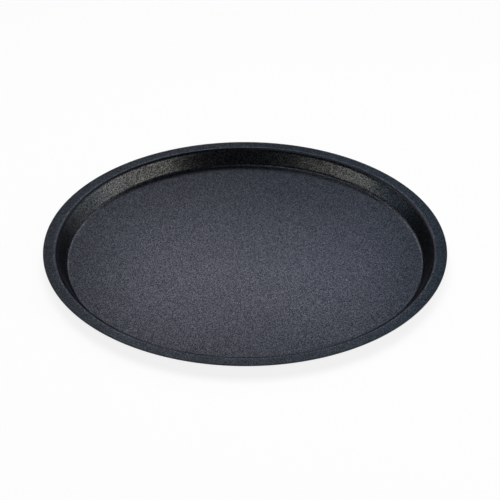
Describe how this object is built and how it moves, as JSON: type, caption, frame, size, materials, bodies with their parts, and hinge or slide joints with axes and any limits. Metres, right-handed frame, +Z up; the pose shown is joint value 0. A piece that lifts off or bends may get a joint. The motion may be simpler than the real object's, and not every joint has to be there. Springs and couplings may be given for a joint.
{
  "type": "pizza pan",
  "caption": "Round shallow pizza pan of pressed sheet steel with a flat baking floor, a sloping wall, a flat rim and a dark non-stick coating.",
  "frame": {"origin": "centre of the underside, on the surface that the pan stands on", "axes": "+Z up, along the pan's axis, from the underside towards the open side; the pan is round, so X and Y are alike"},
  "size_m": [0.32, 0.32, 0.013],
  "materials": {
    "coated_steel": "satin black, fine grain",
    "nonstick": "satin anthracite with a fine metallic grain"
  },
  "bodies": {
    "root": {"steel_body": "coated_steel", "nonstick_coating": "nonstick"}
  },
  "joints": []
}
